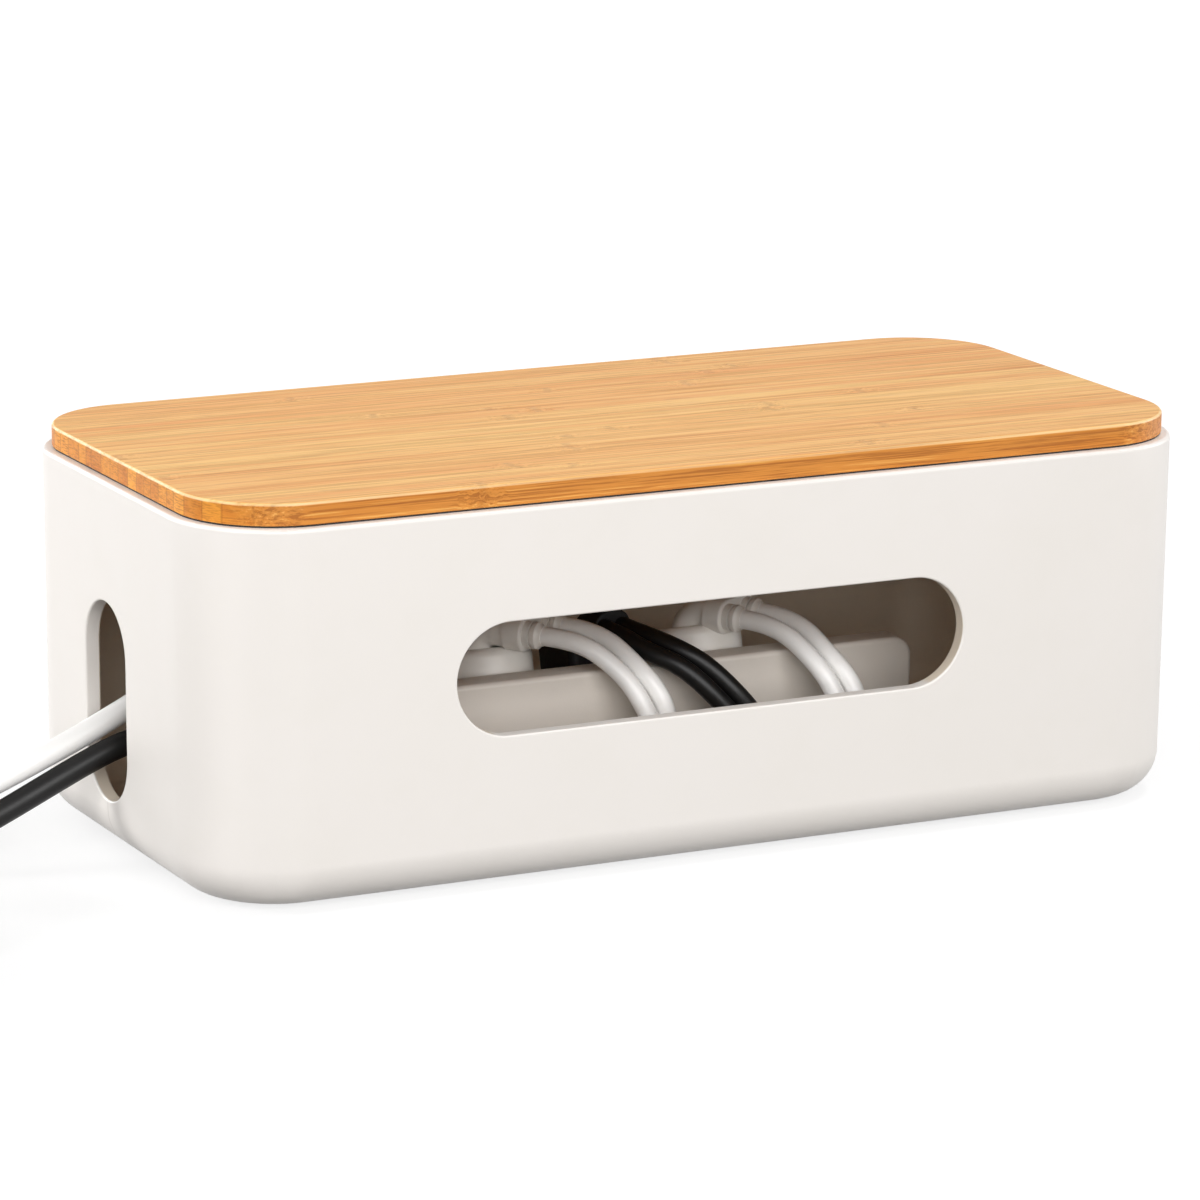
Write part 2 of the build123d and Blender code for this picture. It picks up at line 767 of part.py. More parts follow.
device_start = device_neck.origin + device_neck.z_dir * device_relief_length
device_route = [
    tuple(device_start), tuple(device_start + device_neck.z_dir * flex_run),
    (-140.6, 8.6, 47.6), (-153.0, 10.4, 40.6),
    (-166.0, 10.3, 34.5), (-179.0, 9.9, 29.2), (-192.0, 9.7, 24.0), (-206.0, 10.4, 18.4),
    (-220.5, 12.9, 13.0), (-235.0, 16.8, 8.0), (-249.0, 20.8, 4.6), (-262.0, 22.9, 4.1),
]
mains_start = mains_exit.origin + mains_exit.z_dir * relief_length
mains_route = [
    tuple(mains_start), tuple(mains_start + mains_exit.z_dir * flex_run),
    (-144.5, 7.0, 34.0), (-156.0, 6.0, 31.9),
    (-166.5, 6.0, 27.6), (-179.0, 6.1, 21.7), (-192.0, 6.2, 15.6), (-206.0, 6.3, 9.6),
    (-220.0, 6.2, 5.3), (-234.0, 5.6, 4.4), (-248.0, 4.8, 4.25), (-262.0, 4.6, 4.25),
]
# Each coil lies beside the end of its flex, on the side given, as its outermost turn would
coils = {"device": (device_route, device_diameter, 1), "mains": (mains_route, mains_diameter, -1)}
coil_centres = {}
for name, (route, diameter, side) in coils.items():
    middle = coil_turn * diameter / 2
    ring_inner = middle - coil_lanes * diameter / 2
    ring_outer = middle + coil_lanes * diameter / 2
    cx = route[-1][0]
    cy = route[-1][1] + side * (diameter / 2 + coil_gap + ring_outer)
    coil_centres[name] = (cx, cy)
    ring_height = coil_layers * diameter
    with BuildPart() as coil:
        with BuildSketch(Plane.XY.offset(coil_lift)):
            with Locations((cx, cy)):
                Circle(ring_outer)
                Circle(ring_inner, mode=Mode.SUBTRACT)
        extrude(amount=ring_height)
        fillet(coil.edges().filter_by(GeomType.CIRCLE), diameter / 3)
    coil.part.label = f"{name}_coil"
    export_step(coil.part, f"parts/{name}_coil.step")
    flex = cord_tube(f"{name}_flex", route, diameter)
    flex.label = f"{name}_flex"
    export_step(flex, f"parts/{name}_flex.step")
    # A hook-and-loop tie round the ring on the side away from the box
    tie_angle = degrees(tie_width / middle)
    with BuildPart() as tie:
        with BuildSketch(Plane(origin=(cx, cy, 0), x_dir=(1, 0, 0), z_dir=(0, -1, 0)).rotated(
            (0, 0, 180 - tie_angle / 2)
        )):
            with Locations((middle, coil_lift + ring_height / 2)):
                grown = 2 * (tie_gap + tie_thickness)
                RectangleRounded(
                    coil_lanes * diameter + grown, ring_height + grown, diameter / 3
                )
                RectangleRounded(
                    coil_lanes * diameter + 2 * tie_gap, ring_height + 2 * tie_gap,
                    diameter / 3 - tie_thickness, mode=Mode.SUBTRACT,
                )
        revolve(axis=Axis((cx, cy, 0), (0, 0, 1)), revolution_arc=tie_angle)
    tie.part.label = f"{name}_coil_tie"
    export_step(tie.part, f"parts/{name}_coil_tie.step")

# Ends of the two flexes, lying across their coils
def flex_end(name, lead_height):
    """Plane where a flex meets its end piece, its normal along the piece."""
    _, diameter, side = coils[name]
    cx, cy = coil_centres[name]
    heading = Vector(-cos(radians(end_turn)), side * sin(radians(end_turn)), 0)
    top = coil_lift + coil_layers * diameter
    start = Vector(cx + end_start_x, cy - side * end_start_y, top + lead_height)
    return Plane(origin=start, x_dir=Vector(0, 0, 1).cross(heading), z_dir=heading)


mains_end = flex_end("mains", mains_plug_axis)
mains_grip = mains_end.offset(end_relief_length)
with BuildPart() as mains_plug_body:
    with BuildSketch(mains_end):
        Circle(mains_diameter / 2 + relief_lip)
    with BuildSketch(mains_grip):
        Circle(relief_diameter / 2)
    loft()
    with BuildSketch(mains_grip):
        with Locations((0, mains_plug_height / 2 - mains_plug_axis)):
            RectangleRounded(mains_plug_width, mains_plug_height, mains_plug_round)
    extrude(amount=mains_plug_length)
    blade_face = mains_plug_body.faces().sort_by(Axis(mains_end.origin, mains_end.z_dir))[-1]
    fillet(blade_face.edges(), mains_plug_edge)
mains_plug_body.part.label = "mains_plug_body"
export_step(mains_plug_body.part, "parts/mains_plug_body.step")

mains_face = mains_grip.offset(mains_plug_length)
with BuildPart() as mains_plug_blades:
    with BuildSketch(mains_face):
        for side in (-1, 1):
            with Locations((side * blade_spacing / 2, mains_plug_height / 2 - mains_plug_axis)):
                Rectangle(blade_thickness, blade_width)
    extrude(amount=blade_length)
    with BuildSketch(mains_face):
        with Locations((0, mains_plug_height / 2 - mains_plug_axis - mains_earth_offset)):
            Circle(earth_pin / 2)
    extrude(amount=mains_earth_length)
mains_plug_blades.part.label = "mains_plug_blades"
export_step(mains_plug_blades.part, "parts/mains_plug_blades.step")

device_end = flex_end("device", connector_height / 2)
device_grip = device_end.offset(end_relief_length)
with BuildPart() as device_connector:
    with BuildSketch(device_end):
        Circle(device_diameter / 2 + relief_lip)
    with BuildSketch(device_grip):
        Circle(connector_root)
    loft()
    with BuildSketch(device_grip):
        SlotOverall(connector_width, connector_height)
    extrude(amount=connector_length)
    with BuildSketch(device_grip.offset(connector_length)):
        SlotOverall(connector_width - 2 * connector_step, connector_height - 2 * connector_step)
    extrude(amount=connector_nose)
    with BuildSketch(device_grip.offset(connector_length)):
        with GridLocations(connector_pins, 1, 2, 1):
            Circle(connector_pin / 2)
    extrude(amount=connector_nose, mode=Mode.SUBTRACT)
device_connector.part.label = "device_connector"
export_step(device_connector.part, "parts/device_connector.step")
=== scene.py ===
# %% [markdown]
# # A cable management box, dressed for the camera
# The box is a moulded tub with a loose bamboo lid. A power strip lies in it, with plugs, short
# leads and two flexes that leave through a slot in the left end wall. The sizes come from the
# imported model, which this script loads as its frame. Each step explains one piece or finish.

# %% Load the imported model
import json
from math import cos, radians, sin, pi

import bpy
import bmesh
from mathutils import Matrix, Quaternion, Vector


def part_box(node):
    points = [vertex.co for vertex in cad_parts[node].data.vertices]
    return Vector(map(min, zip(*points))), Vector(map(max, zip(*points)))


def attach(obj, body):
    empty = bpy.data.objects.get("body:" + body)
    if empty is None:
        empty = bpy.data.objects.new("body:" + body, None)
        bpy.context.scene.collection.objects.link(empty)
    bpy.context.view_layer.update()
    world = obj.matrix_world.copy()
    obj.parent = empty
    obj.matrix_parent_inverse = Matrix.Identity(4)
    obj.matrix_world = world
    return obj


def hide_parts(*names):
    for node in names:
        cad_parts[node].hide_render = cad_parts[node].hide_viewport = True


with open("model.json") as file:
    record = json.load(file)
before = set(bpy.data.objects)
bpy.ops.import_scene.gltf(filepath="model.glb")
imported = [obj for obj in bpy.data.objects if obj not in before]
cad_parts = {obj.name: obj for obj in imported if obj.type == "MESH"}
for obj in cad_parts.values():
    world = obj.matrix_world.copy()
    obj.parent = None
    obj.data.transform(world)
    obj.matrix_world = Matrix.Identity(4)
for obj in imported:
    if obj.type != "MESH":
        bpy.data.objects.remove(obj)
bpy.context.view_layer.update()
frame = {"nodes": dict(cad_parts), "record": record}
nodes = frame["nodes"]

# %% [markdown]
# ## The camera
# A long lens from the front left, a little above, gives the calm, nearly parallel edges of a shop
# picture. The camera could be dragged into place by hand, but then nobody could say where it
# stands. Here it goes by azimuth, elevation and distance round a point in the middle of the box,
# and is rolled by half a degree, as a tripod on an uneven floor is.

# %% Place the camera
azimuth = radians(-26.579)
elevation = radians(13.438)
camera_distance = 1.678966
camera_roll = radians(0.523)
camera_target = Vector((-0.00222, 0.002461, 0.060856))
focal_length = 168.79
sensor_width = 36.0

camera_data = bpy.data.cameras.new("camera")
camera_data.lens = focal_length
camera_data.sensor_width = sensor_width
camera_data.sensor_height = sensor_width
camera_data.clip_end = 30.0
camera = bpy.data.objects.new("camera", camera_data)
back = Vector(
    (sin(azimuth) * cos(elevation), -cos(azimuth) * cos(elevation), sin(elevation))
)
turn = back.to_track_quat("Z", "Y") @ Quaternion((0, 0, 1), camera_roll)
camera.matrix_world = (
    Matrix.Translation(camera_target + back * camera_distance) @ turn.to_matrix().to_4x4()
)
bpy.context.scene.collection.objects.link(camera)
bpy.context.scene.camera = camera
print("camera at", tuple(round(value, 3) for value in camera.matrix_world.translation))

# %% [markdown]
# ## Softly shaded housings
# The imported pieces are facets. A moulded or turned surface needs one soft shading across them. A
# remesh or a subdivision would give it, but would also move the real edges. So each such piece is
# copied, its loose facets are merged, every edge under the crease angle is made smooth and the
# normals are weighted by face area, which leaves the shape as it is. The copy stands for the
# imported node.

# %% Merge, smooth and stand in
crease_angle = radians(32.0)
merge_distance = 2e-6
slot_of = {row["node"]: row["material_slot"] for row in frame["record"]["subparts"]}
lid_nodes = frame["record"]["behaviour"]["bodies"]["lid"]
finishes = {}


def soft_copy(node, name):
    """A merged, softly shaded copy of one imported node."""
    mesh = nodes[node].data.copy()
    mesh.materials.clear()
    if mesh.has_custom_normals:
        mesh.attributes.remove(mesh.attributes["custom_normal"])
    work = bmesh.new()
    work.from_mesh(mesh)
    bmesh.ops.remove_doubles(work, verts=work.verts, dist=merge_distance)
    for face in work.faces:
        face.smooth = True
    for edge in work.edges:
        edge.smooth = edge.is_manifold and edge.calc_face_angle() < crease_angle
    work.to_mesh(mesh)
    work.free()
    piece = bpy.data.objects.new(name, mesh)
    bpy.context.scene.collection.objects.link(piece)
    weighted = piece.modifiers.new("weighted_normals", "WEIGHTED_NORMAL")
    weighted.keep_sharp = True
    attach(piece, "lid" if node in lid_nodes else "box")
    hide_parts(node)
    finishes[piece] = slot_of[node]
    return piece


print("slots in the record:", len(set(slot_of.values())))

# %% Copy the moulded and turned pieces
soft_names = {
    "tub": "moulded_tub",
    "lid_panel": "bamboo_board",
    "lid_seal": "seal_strip",
    "lid_screws": "countersunk_screws",
    "rubber_feet": "rubber_feet_pads",
    "strip_cover": "strip_upper_case",
    "strip_base": "strip_lower_case",
    "strip_pads": "strip_soft_pads",
    "strip_screws": "strip_case_screws",
    "plug_left_body": "elbow_plug_left",
    "plug_middle_body": "block_plug_middle",
    "plug_right_body": "elbow_plug_right",
    "device_plug_body": "elbow_plug_device",
    "plug_left_collars": "ringed_collars_left",
    "plug_right_collars": "ringed_collars_right",
    "connector_tips_left": "barrel_tips_left",
    "connector_tips_middle": "barrel_tips_middle",
    "connector_tips_right": "barrel_tips_right",
    "device_coil_tie": "hook_tape_device",
    "mains_coil_tie": "hook_tape_mains",
    "mains_plug_body": "wall_plug",
    "device_connector": "flex_connector",
}
for side in ("left", "middle", "right"):
    for depth in ("front", "rear"):
        soft_names[f"connector_{side}_{depth}"] = f"barrel_{side}_{depth}"
pieces = {node: soft_copy(node, name) for node, name in soft_names.items()}
print("softly shaded pieces:", len(pieces))

# %% [markdown]
# ## Cords as smooth splines
# A flex is a tube of one thickness on one smooth line. A mesh swept through sampled points would
# do, but it shows straight runs and corners. A NURBS spline of order 3 bends evenly between a few
# hand-set points and keeps its round section. The order and the clamped ends are set after the
# points exist.


# %% A helper for cords
spline_order = 3
steps_between_points = 8
section_steps = 5
sheaths = {slot: bpy.data.materials.new(slot) for slot in ("white_flex", "black_flex")}


def cord(name, points, diameter, slot):
    """A round flex on a quadratic NURBS spline, with the material of its sheath."""
    curve = bpy.data.curves.new(name, "CURVE")
    curve.materials.append(sheaths[slot])
    curve.dimensions = "3D"
    spline = curve.splines.new("NURBS")
    spline.points.add(len(points) - 1)
    for place, point in zip(spline.points, points):
        place.co = (*point, 1.0)
    spline.order_u = spline_order
    spline.use_endpoint_u = True
    curve.resolution_u = steps_between_points
    curve.bevel_depth = diameter / 2
    curve.bevel_resolution = section_steps
    curve.use_fill_caps = True
    piece = bpy.data.objects.new(name, curve)
    bpy.context.scene.collection.objects.link(piece)
    return piece


print("sheaths:", ", ".join(sheaths))

# %% [markdown]
# ## The six short leads
# Each plug has two leads. They leave it level, bend over the front edge of the strip and lie on
# the floor of the tub, one beside the other, where their connectors end. The middle pair is
# black, the two outer pairs are white. A simulated rope could be dropped there, but twelve given
# points keep the two leads of a pair together through the bend.

# %% Short leads
lead_diameter = 0.0058
lead_routes = {
    "left_front": [
        (-0.0291, -0.0147, 0.0563), (-0.0221, -0.0238, 0.0563), (-0.0138, -0.0321, 0.0491),
        (-0.009, -0.0374, 0.0413), (-0.0054, -0.0417, 0.0303), (-0.009, -0.045, 0.0188),
        (-0.0188, -0.0456, 0.01), (-0.032, -0.0454, 0.0074), (-0.05, -0.0446, 0.0072),
        (-0.072, -0.0456, 0.0073), (-0.094, -0.0448, 0.0074), (-0.11, -0.0452, 0.0082),
    ],
    "left_rear": [
        (-0.0186, -0.0065, 0.0563), (-0.0115, -0.0155, 0.0563), (-0.0067, -0.0322, 0.0485),
        (-0.0018, -0.0377, 0.0407), (0.0001, -0.0397, 0.0313), (-0.0024, -0.0392, 0.0196),
        (-0.0118, -0.0382, 0.0102), (-0.025, -0.0372, 0.0074), (-0.043, -0.0362, 0.0072),
        (-0.065, -0.037, 0.0073), (-0.086, -0.036, 0.0074), (-0.101, -0.0364, 0.0082),
    ],
    "middle_front": [
        (-0.0058, -0.0075, 0.0547), (-0.005, -0.0169, 0.0547), (-0.001, -0.0259, 0.0513),
        (0.0077, -0.0348, 0.0477), (0.0218, -0.0423, 0.0315), (0.0285, -0.0454, 0.0205),
        (0.038, -0.0454, 0.0124), (0.0495, -0.0432, 0.0084), (0.064, -0.0424, 0.0072),
        (0.082, -0.0434, 0.0073), (0.101, -0.043, 0.0074), (0.119, -0.0434, 0.0082),
    ],
    "middle_rear": [
        (0.0005, -0.0069, 0.0547), (0.0013, -0.0164, 0.0547), (0.0077, -0.0277, 0.0523),
        (0.0163, -0.0335, 0.0468), (0.0267, -0.0402, 0.0345), (0.0344, -0.0408, 0.0224),
        (0.0434, -0.0376, 0.0134), (0.0548, -0.0348, 0.0087), (0.07, -0.0338, 0.0072),
        (0.088, -0.0342, 0.0073), (0.104, -0.0336, 0.0074), (0.12, -0.0338, 0.0082),
    ],
    "right_front": [
        (0.0381, -0.0133, 0.0543), (0.0442, -0.0231, 0.0543), (0.0506, -0.0374, 0.0445),
        (0.0548, -0.0413, 0.0357), (0.0557, -0.0476, 0.0255), (0.0506, -0.0556, 0.0182),
        (0.041, -0.0598, 0.0102), (0.0284, -0.0616, 0.0075), (0.012, -0.0622, 0.0074),
        (-0.008, -0.0616, 0.0074), (-0.03, -0.0624, 0.0076), (-0.047, -0.0622, 0.0086),
    ],
    "right_rear": [
        (0.0472, -0.0076, 0.0543), (0.0533, -0.0173, 0.0543), (0.0562, -0.0352, 0.0458),
        (0.061, -0.0413, 0.0377), (0.062, -0.0456, 0.0246), (0.057, -0.0486, 0.0142),
        (0.048, -0.0512, 0.0082), (0.036, -0.0526, 0.0073), (0.02, -0.054, 0.0072),
        (0.002, -0.0536, 0.0073), (-0.016, -0.0542, 0.0074), (-0.031, -0.054, 0.0082),
    ],
}
for place, route in lead_routes.items():
    sheath = "black_flex" if "middle" in place else "white_flex"
    lead = cord(f"short_lead_{place}", route, lead_diameter, sheath)
    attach(lead, "box")
    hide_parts(f"lead_{place}")
print("short leads:", len(lead_routes))

# %% [markdown]
# ## The two flexes and their coils
# The spare flex is wound as a person winds it for storage: outer lane, inner lane, then the next
# layer. A stack of rings would look much the same, but rings don't join up, and the length would
# be wrong. So the points follow one line. Each turn keeps its lane and changes over to the next
# within a short arc, which comes one arc earlier on every turn, so no two turns meet while they
# cross.

# %% Wind a coil from its own spline
points_per_turn = 16
change_arc = 30.0
entry_arc = 70.0
full_turn = 360.0


def smooth(t):
    """Ease from 0 to 1."""
    return t * t * (3 - 2 * t)


def coil_points(centre, entry, sense, entry_radius, lanes, lift, diameter, stop):
    """Control points of the turns: entry is the angle of the first one, in degrees."""
    outer, inner = lanes
    slots = [(outer, 0), (inner, 0), (inner, 1), (outer, 1), (outer, 2), (inner, 2)]
    low = lift + diameter / 2
    keys = [(0.0, entry_radius, low), (entry_arc, outer, low)]
    step = full_turn - change_arc
    for number in range(1, len(slots)):
        old, new = slots[number - 1], slots[number]
        keys.append((number * step, old[0], low + old[1] * diameter))
        keys.append((number * step + change_arc, new[0], low + new[1] * diameter))
    last = len(slots) * step
    keys.append((last, inner, low + 2 * diameter))
    keys.append((last + 2 * change_arc, (outer + inner) / 2, low + 3 * diameter))
    keys.append((stop, (outer + inner) / 2, low + 3 * diameter))
    points = []
    spacing = full_turn / points_per_turn
    swell = 1 / cos(pi / points_per_turn)
    for count in range(1, int(stop / spacing) + 1):
        at = count * spacing
        for start, end in zip(keys, keys[1:]):
            if start[0] <= at <= end[0]:
                ease = smooth((at - start[0]) / (end[0] - start[0]))
                radius = start[1] + (end[1] - start[1]) * ease
                height = start[2] + (end[2] - start[2]) * ease
                break
        angle = radians(entry + sense * at)
        points.append((
            centre[0] + radius * swell * cos(angle),
            centre[1] + radius * swell * sin(angle),
            height,
        ))
    return points


print("degrees between points:", full_turn / points_per_turn)

# %% Routes of the two flexes
coil_lift = 0.0006
coil_stop = 2068.0
device_diameter = 0.007
mains_diameter = 0.0073
device_route = [
    (-0.1144, 0.0074, 0.0515), (-0.1284, 0.0074, 0.0515), (-0.1406, 0.0086, 0.0476),
    (-0.153, 0.0104, 0.0406), (-0.166, 0.0103, 0.0345), (-0.179, 0.0099, 0.0292),
    (-0.192, 0.0097, 0.024), (-0.206, 0.0104, 0.0184), (-0.2205, 0.0129, 0.013),
    (-0.235, 0.0168, 0.008), (-0.249, 0.0208, 0.0046), (-0.262, 0.0229, 0.0041),
]
mains_route = [
    (-0.1175, 0.008, 0.0325), (-0.1315, 0.008, 0.0325), (-0.1445, 0.007, 0.034),
    (-0.156, 0.006, 0.0319), (-0.1665, 0.006, 0.0276), (-0.179, 0.0061, 0.0217),
    (-0.192, 0.0062, 0.0156), (-0.206, 0.0063, 0.0096), (-0.22, 0.0062, 0.0053),
    (-0.234, 0.0056, 0.0044), (-0.248, 0.0048, 0.0043), (-0.262, 0.0046, 0.0043),
]
coil_facts = {
    "device": (device_route, device_diameter, (-0.262, 0.0693), -90.0, -1,
               (-0.247, 0.0413, 0.0279), 176.0),
    "mains": (mains_route, mains_diameter, (-0.262, -0.04378), 90.0, 1,
              (-0.247, -0.01578, 0.0305), 184.0),
}
print("flexes to wind:", len(coil_facts))

lead_in = 0.013
for name, (route, diameter, centre, entry, sense, end, heading) in coil_facts.items():
    entry_radius = abs(route[-1][1] - centre[1])
    ring_low, ring_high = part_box(f"{name}_coil")
    outer = (ring_high.x - ring_low.x) / 2 - diameter / 2
    inner = outer - diameter
    turns = coil_points(
        centre, entry, sense, entry_radius, (outer, inner), coil_lift, diameter, coil_stop
    )
    before_end = (
        end[0] - lead_in * cos(radians(heading)), end[1] - lead_in * sin(radians(heading)), end[2]
    )
    sheath = slot_of[f"{name}_flex"]
    flex = cord(f"{name}_flex_wound", [*route, *turns, before_end, end], diameter, sheath)
    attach(flex, "box")
    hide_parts(f"{name}_flex", f"{name}_coil")
print("outer lanes wound at", round(outer, 4))

# %% [markdown]
# ## The ribbed bend relief
# Where the mains flex leaves the strip, a soft tapered sleeve keeps it from kinking. The real one
# is cut by grooves, so that it bends in small steps. A cone with bump in its material would be
# quicker, but its outline would stay straight. So the outline is a few points beside the axis,
# spun all the way round, and a fine bevel takes the edge off every ring.

# %% Spin the relief
relief_rings = 6
relief_root = 0.0055
relief_tip = 0.0042
ring_share = 0.62
groove_depth = 0.0009
ring_softness = 0.00018
spin_steps = 56


def ribbed_sleeve(node, name):
    """A tapered sleeve with rings, spun round a line along X inside the node's box."""
    low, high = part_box(node)
    axis_y, axis_z = (low.y + high.y) / 2, (low.z + high.z) / 2
    pitch = (high.x - low.x) / relief_rings
    outline = [(0.0, 0.0)]
    for ring in range(relief_rings):
        for along, cut in ((0.0, 0.0), (ring_share, 0.0), (ring_share, 1.0), (1.0, 1.0)):
            share = (ring + along) / relief_rings
            radius = relief_root + (relief_tip - relief_root) * share - cut * groove_depth
            outline.append(((ring + along) * pitch, max(radius, relief_tip - groove_depth / 2)))
    outline.append((relief_rings * pitch, 0.0))
    work = bmesh.new()
    corners = [work.verts.new((high.x - x, axis_y, axis_z + radius)) for x, radius in outline]
    edges = [work.edges.new(pair) for pair in zip(corners, corners[1:])]
    bmesh.ops.spin(
        work, geom=corners + edges, cent=(high.x, axis_y, axis_z), axis=(1, 0, 0),
        angle=2 * pi, steps=spin_steps, use_merge=True,
    )
    bmesh.ops.remove_doubles(work, verts=work.verts, dist=merge_distance)
    bmesh.ops.recalc_face_normals(work, faces=work.faces)
    for face in work.faces:
        face.smooth = True
    mesh = bpy.data.meshes.new(name)
    work.to_mesh(mesh)
    work.free()
    piece = bpy.data.objects.new(name, mesh)
    bpy.context.scene.collection.objects.link(piece)
    softened = piece.modifiers.new("ring_edges", "BEVEL")
    softened.width = ring_softness
    softened.segments = 2
    softened.limit_method = "ANGLE"
    softened.angle_limit = crease_angle
    softened.harden_normals = True
    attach(piece, "box")
    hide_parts(node)
    finishes[piece] = slot_of[node]
    return piece


sleeve = ribbed_sleeve("strip_relief", "ribbed_bend_relief")
print("relief faces:", len(sleeve.data.polygons))

# %% [markdown]
# ## Helpers for materials
# A material is a small tree of nodes. It could be joined up by hand in the editor, one link at a
# time. In a script these helpers add a node and join it in one line, mix two colours by a mask,
# and open a node group with named sockets. Groups hold the patterns and put out colour, roughness
# and height only. The shader itself stays in each material.

# %% Colours and nodes


def display(red, green, blue):
    """The linear colour of a 0 to 255 display colour."""
    channels = []
    for value in (red, green, blue):
        share = value / 255
        channels.append(share / 12.92 if share <= 0.04045 else ((share + 0.055) / 1.055) ** 2.4)
    return (*channels, 1.0)


print("middle grey in linear light:", round(display(128, 128, 128)[0], 3))


def put(tree, kind, inputs=None, **settings):
    """Add a node, set it up, and join or fill its inputs."""
    node = tree.nodes.new(kind)
    for name, value in settings.items():
        setattr(node, name, value)
    for name, value in (inputs or {}).items():
        if isinstance(value, bpy.types.NodeSocket):
            tree.links.new(value, node.inputs[name])
        else:
            node.inputs[name].default_value = value
    return node


# %% Arithmetic and masks


def maths(tree, operation, *values, clamp=False):
    """One step of arithmetic on numbers or sockets."""
    return put(
        tree, "ShaderNodeMath", dict(enumerate(values)), operation=operation, use_clamp=clamp
    ).outputs[0]


def vector_maths(tree, operation, *values):
    """One step of arithmetic on vectors."""
    return put(
        tree, "ShaderNodeVectorMath", dict(enumerate(values)), operation=operation
    ).outputs[0]


def ramp(tree, value, low, high, to_low=0.0, to_high=1.0):
    """A soft step from to_low to to_high while the value goes from low to high."""
    facts = {"Value": value, "From Min": low, "From Max": high, "To Min": to_low,
             "To Max": to_high}
    return put(
        tree, "ShaderNodeMapRange", facts, interpolation_type="SMOOTHSTEP"
    ).outputs[0]


def tint(tree, share, first, second):
    """The first colour where the share is 0, the second where it is 1."""
    return put(
        tree, "ShaderNodeMix", {0: share, 6: first, 7: second}, data_type="RGBA"
    ).outputs[2]


def cloud(tree, place, scale, detail=2.0, roughness=0.5, distortion=0.0):
    """Noise between 0 and 1 at a scale in cells per metre."""
    facts = {"Vector": place, "Scale": scale, "Detail": detail, "Roughness": roughness,
             "Distortion": distortion}
    return put(tree, "ShaderNodeTexNoise", facts).outputs[0]


# %% Node groups


def open_group(name, inputs, outputs):
    """A node group with named sockets, and its two end nodes."""
    tree = bpy.data.node_groups.new(name, "ShaderNodeTree")
    for socket, kind in inputs.items():
        tree.interface.new_socket(socket, in_out="INPUT", socket_type=f"NodeSocket{kind}")
    for socket, kind in outputs.items():
        tree.interface.new_socket(socket, in_out="OUTPUT", socket_type=f"NodeSocket{kind}")
    return tree, put(tree, "NodeGroupInput").outputs, put(tree, "NodeGroupOutput").inputs


surface_outputs = {"Colour": "Color", "Roughness": "Float", "Height": "Float"}

# %% [markdown]
# ## Moulded skin
# A moulded housing is never one flat tone. The melt cools in broad patches that differ a little
# in shade, the tool is spark-eroded to a fine even grain that scatters the light, and handling
# polishes that grain in places. One noise at one scale would look like stone, so three sizes of
# noise each do one of these jobs. The group takes two shades and the size of the grain, and
# serves the tub, the strip, the plugs, the connectors and the rubber.

# %% Group: moulded skin
moulded_skin, given, gives = open_group(
    "moulded_skin",
    {"Position": "Vector", "Shade": "Color", "Deep Shade": "Color", "Grain Size": "Float",
     "Gloss Floor": "Float", "Gloss Spread": "Float"},
    surface_outputs,
)
tree = moulded_skin
# Cells per metre of the three soft patterns
patch_scale, flow_scale, rub_scale = 16.0, 70.0, 38.0
patches = ramp(tree, cloud(tree, given["Position"], patch_scale, 3.0), 0.35, 0.72)
flow = ramp(tree, cloud(tree, given["Position"], flow_scale, 4.0, 0.6), 0.42, 0.75, 0.0, 0.45)
fine = maths(tree, "DIVIDE", 1.0, given["Grain Size"])
grain = cloud(tree, given["Position"], fine, 2.0, 0.6)
pits = ramp(tree, grain, 0.3, 0.7)
share = maths(tree, "ADD", maths(tree, "MULTIPLY", patches, 0.55), flow, clamp=True)
base = tint(tree, share, given["Shade"], given["Deep Shade"])
speck = ramp(tree, grain, 0.62, 0.8, 0.0, 0.12)
skin_colour = tint(tree, speck, base, given["Deep Shade"])
tree.links.new(skin_colour, gives["Colour"])
rubbed = ramp(tree, cloud(tree, given["Position"], rub_scale, 5.0, 0.65), 0.3, 0.75)
gloss = maths(tree, "MULTIPLY_ADD", rubbed, given["Gloss Spread"], given["Gloss Floor"])
tree.links.new(gloss, gives["Roughness"])
tree.links.new(pits, gives["Height"])
print("moulded skin nodes:", len(tree.nodes))

# %% [markdown]
# ## Bamboo
# Bamboo board is glued from narrow strips cut from the wall of the stalk. Each strip has its own
# tone, fine fibres and short dark dashes run along it, and every 200 mm or so a faint band shows
# where a knuckle was. Across the cut end the fibre bundles show as dots in blocks of different
# tone. A wood image wrapped round the board would break at every edge. This pattern is worked out
# in the position on the board, so it runs through the solid: long on top, fine on the front edge,
# blocky on the end.

# %% Group: bamboo strips
bamboo_strips, given, gives = open_group(
    "bamboo_strips",
    {"Position": "Vector", "Normal": "Vector", "Strip Width": "Float", "Light": "Color",
     "Dark": "Color", "Dash": "Color", "End Light": "Color", "End Dark": "Color",
     "Edge Highlight": "Color"},
    surface_outputs,
)
tree = bamboo_strips
axes = put(tree, "ShaderNodeSeparateXYZ", {0: given["Position"]}).outputs
across = maths(tree, "DIVIDE", axes["Y"], given["Strip Width"])
strip_facts = {"W": across, "Scale": 1.0, "Randomness": 0.75}
strip = put(tree, "ShaderNodeTexVoronoi", strip_facts, voronoi_dimensions="1D")
seam = put(
    tree, "ShaderNodeTexVoronoi", strip_facts, voronoi_dimensions="1D",
    feature="DISTANCE_TO_EDGE",
).outputs["Distance"]
own = put(tree, "ShaderNodeSeparateColor", {0: strip.outputs["Color"]}).outputs
shift = vector_maths(tree, "MULTIPLY", strip.outputs["Color"], (0.9, 0.0, 0.05))
shifted = vector_maths(tree, "ADD", given["Position"], shift)

